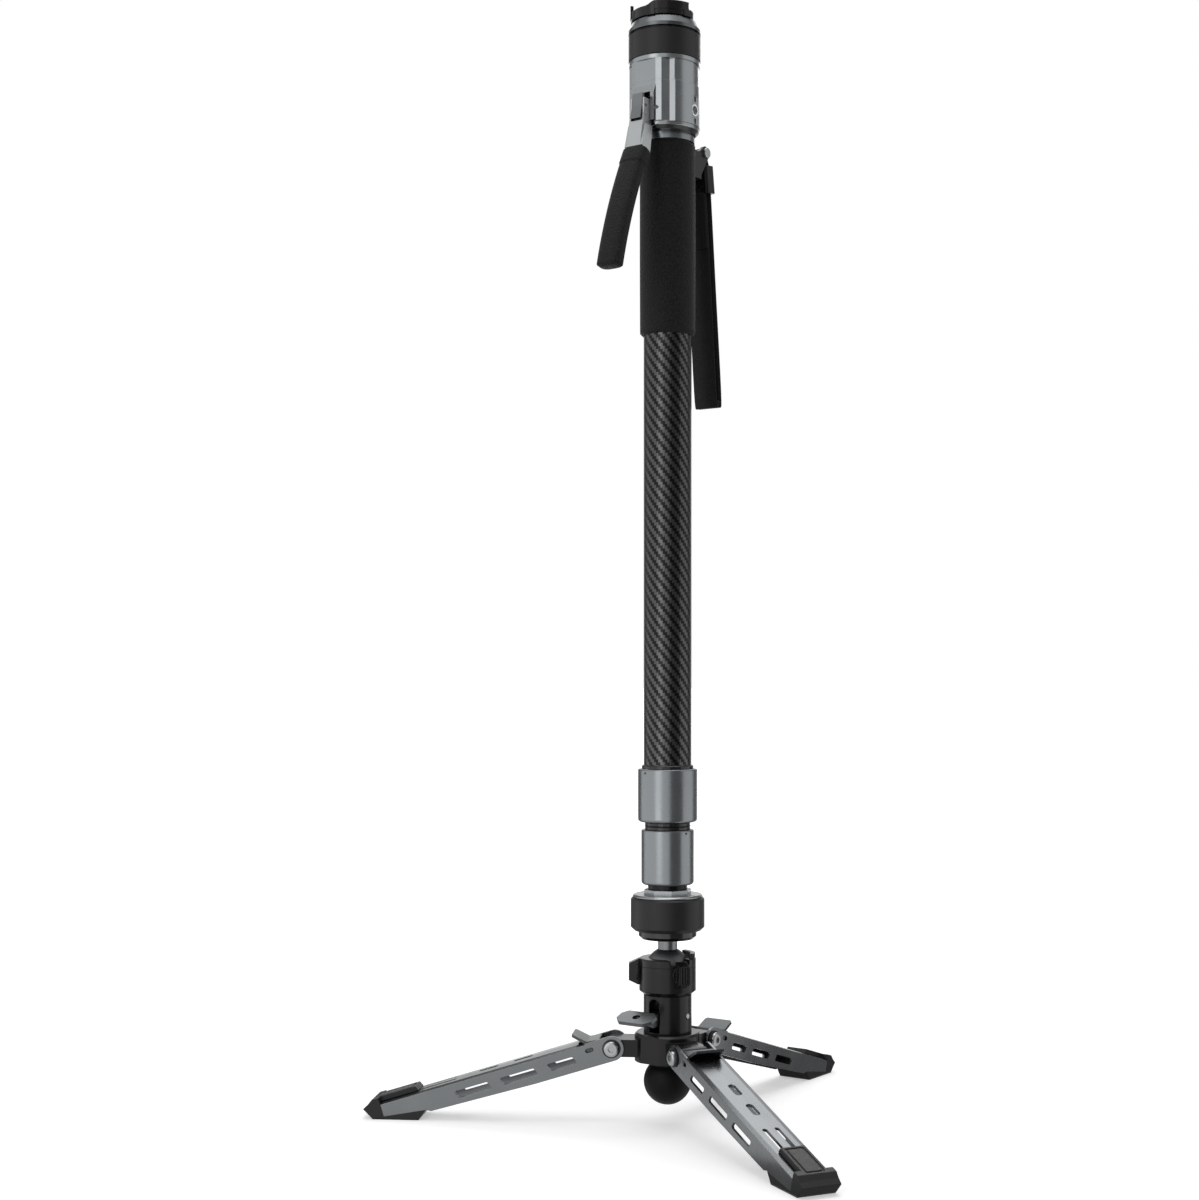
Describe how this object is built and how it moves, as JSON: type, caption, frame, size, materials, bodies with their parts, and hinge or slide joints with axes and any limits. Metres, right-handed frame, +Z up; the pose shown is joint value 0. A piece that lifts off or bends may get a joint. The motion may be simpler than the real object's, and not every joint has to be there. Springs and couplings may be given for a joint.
{
  "type": "camera monopod with folding feet",
  "caption": "Telescoping camera monopod with three folding feet, pan and tilt ball base, foam grip, brake trigger, lock rings and a threaded camera stud.",
  "frame": {"origin": "on the floor plane, under the column's axis, between the three feet", "axes": "+Z up along the column, -Y towards the trigger and the pedal, +Y towards the wrist strap and the rear leg"},
  "size_m": [0.403, 0.3491, 0.8173],
  "materials": {
    "black_anodised": "fine satin black anodising",
    "grey_anodised": "satin gunmetal anodising with bright bevels",
    "head_paint": "satin dark grey",
    "collar_satin": "satin black with soft vertical lights",
    "silver_alloy": "bright satin",
    "bright_steel": "polished",
    "dark_washer": "matte",
    "black_rubber": "matte moulded rubber",
    "carbon_weave": "clear coated twill weave of carbon fibre",
    "gloss_seal": "glossy",
    "inner_polymer": "matte",
    "grip_foam": "fine grained closed cell foam",
    "strap_polymer": "matte moulded plastic",
    "strap_webbing": "woven nylon"
  },
  "bodies": {
    "base": {"hub": "black_anodised", "foot_stud": "bright_steel", "ball_foot": "black_rubber", "leg_pins": "bright_steel", "pin_screws": "bright_steel", "pivot_washers": "dark_washer", "pedestal": "black_anodised", "cross_pin": "bright_steel"},
    "leg_left": {"leg_left": "grey_anodised", "foot_left": "black_rubber"},
    "leg_front": {"leg_front": "grey_anodised", "foot_front": "black_rubber"},
    "leg_rear": {"leg_rear": "grey_anodised", "foot_rear": "black_rubber"},
    "tab_left": {"lock_tab_left": "grey_anodised"},
    "tab_front": {"lock_tab_front": "grey_anodised"},
    "tab_rear": {"lock_tab_rear": "grey_anodised"},
    "pedal": {"pedal": "grey_anodised"},
    "plunger": {"pan_plunger": "bright_steel"},
    "ball_housing": {"ball_housing": "black_anodised", "housing_cap": "black_anodised"},
    "knob": {"tension_knob": "black_anodised"},
    "lock_knob": {"lock_knob": "black_anodised"},
    "stem": {"ball_stem": "black_anodised", "stem_disc": "black_anodised", "coupling_socket": "black_anodised", "stem_screw": "bright_steel", "column_base": "silver_alloy", "lower_tube": "carbon_weave", "lower_brake": "inner_polymer"},
    "lower_ring": {"lower_lock_ring": "black_anodised"},
    "middle": {"middle_tube": "carbon_weave", "middle_collar": "collar_satin", "middle_seal": "gloss_seal", "upper_brake": "inner_polymer", "relay_tube": "inner_polymer"},
    "handle": {"main_tube": "carbon_weave", "upper_collar": "collar_satin", "upper_seal": "gloss_seal", "grip_sleeve": "grip_foam", "neck_ring": "collar_satin", "head_skirt": "head_paint", "head_body": "head_paint", "head_cap": "head_paint", "head_rim": "black_anodised", "side_insert": "bright_steel", "lock_core": "black_anodised", "bevel_ring": "head_paint", "mount_plate": "black_anodised", "camera_screw": "bright_steel", "lever_pin": "bright_steel", "strap_anchor": "strap_polymer", "strap_pin": "bright_steel", "strap_buckle": "strap_polymer", "wrist_strap": "strap_webbing"},
    "upper_ring": {"upper_lock_ring": "black_anodised"},
    "rod": {"release_rod": "bright_steel"},
    "lever": {"lever_arm": "silver_alloy", "lever_grip": "grip_foam"},
    "lever_lock": {"lever_lock_tab": "silver_alloy"}
  },
  "joints": [
    {"name": "left_leg_fold", "type": "hinge", "parent": "base", "child": "leg_left", "pos_m": [-0.03464, -0.02, 0.0553], "axis": [0.5, -0.866, 0], "range_deg": [-105, 0]},
    {"name": "front_leg_fold", "type": "hinge", "parent": "base", "child": "leg_front", "pos_m": [0.03464, -0.02, 0.0553], "axis": [0.5, 0.866, 0], "range_deg": [-105, 0]},
    {"name": "rear_leg_fold", "type": "hinge", "parent": "base", "child": "leg_rear", "pos_m": [0, 0.04, 0.0553], "axis": [-1, 0, 0], "range_deg": [-105, 0]},
    {"name": "left_lock_slide", "type": "slide", "parent": "leg_left", "child": "tab_left", "axis": [-0.8276, -0.4778, -0.2945], "range_m": [0, 0.003], "stiffness_N_per_m": 200, "springref_m": -0.002},
    {"name": "front_lock_slide", "type": "slide", "parent": "leg_front", "child": "tab_front", "axis": [0.8276, -0.4778, -0.2945], "range_m": [0, 0.003], "stiffness_N_per_m": 200, "springref_m": -0.002},
    {"name": "rear_lock_slide", "type": "slide", "parent": "leg_rear", "child": "tab_rear", "axis": [0, 0.9556, -0.2945], "range_m": [0, 0.003], "stiffness_N_per_m": 200, "springref_m": -0.002},
    {"name": "pedal_press", "type": "hinge", "parent": "base", "child": "pedal", "pos_m": [0, 0, 0.079], "axis": [1, 0, 0], "range_deg": [0, 10], "stiffness_Nm_per_rad": 0.4, "springref_deg": -11.46},
    {"name": "plunger_lift", "type": "slide", "parent": "base", "child": "plunger", "axis": [0, 0, 1], "range_m": [0, 0.0014]},
    {"name": "pan", "type": "hinge", "parent": "base", "child": "ball_housing", "pos_m": [0, 0, 0.094], "axis": [0, 0, 1], "continuous": true},
    {"name": "ball_tilt", "type": "hinge", "parent": "ball_housing", "child": "stem", "pos_m": [0, 0, 0.1125], "axis": [0.4695, 0.8829, 0], "range_deg": [0, 35]},
    {"name": "knob_turn", "type": "hinge", "parent": "ball_housing", "child": "knob", "pos_m": [-0.01778, -0.01155, 0.1105], "axis": [-0.8387, -0.5446, 0], "range_deg": [0, 180]},
    {"name": "lock_knob_turn", "type": "hinge", "parent": "ball_housing", "child": "lock_knob", "pos_m": [0.01854, -0.01028, 0.1105], "axis": [0.8746, -0.4848, 0], "range_deg": [0, 180]},
    {"name": "lower_ring_turn", "type": "hinge", "parent": "stem", "child": "lower_ring", "pos_m": [0, 0, 0.153], "axis": [0, 0, 1], "range_deg": [0, 35]},
    {"name": "lower_extension", "type": "slide", "parent": "stem", "child": "middle", "axis": [0, 0, 1], "range_m": [0, 0.42]},
    {"name": "upper_extension", "type": "slide", "parent": "middle", "child": "handle", "axis": [0, 0, 1], "range_m": [0, 0.42]},
    {"name": "upper_ring_turn", "type": "hinge", "parent": "handle", "child": "upper_ring", "pos_m": [0, -0.004, 0.785], "axis": [0, 0, 1], "range_deg": [0, 35]},
    {"name": "trigger_squeeze", "type": "hinge", "parent": "handle", "child": "lever", "pos_m": [0, -0.0295, 0.737], "axis": [1, 0, 0], "range_deg": [0, 14], "stiffness_Nm_per_rad": 0.3, "springref_deg": -17.19},
    {"name": "rod_lift", "type": "slide", "parent": "handle", "child": "rod", "axis": [0, 0, 1], "range_m": [0, 0.0068]},
    {"name": "lever_lock_turn", "type": "hinge", "parent": "lever", "child": "lever_lock", "pos_m": [0, -0.036, 0.737], "axis": [1, 0, 0], "range_deg": [0, 20]}
  ],
  "couplings": [
    {"joint": "plunger_lift", "follows": "pedal_press", "m_per_rad": 0.0072},
    {"joint": "rod_lift", "follows": "trigger_squeeze", "m_per_rad": 0.0272}
  ]
}
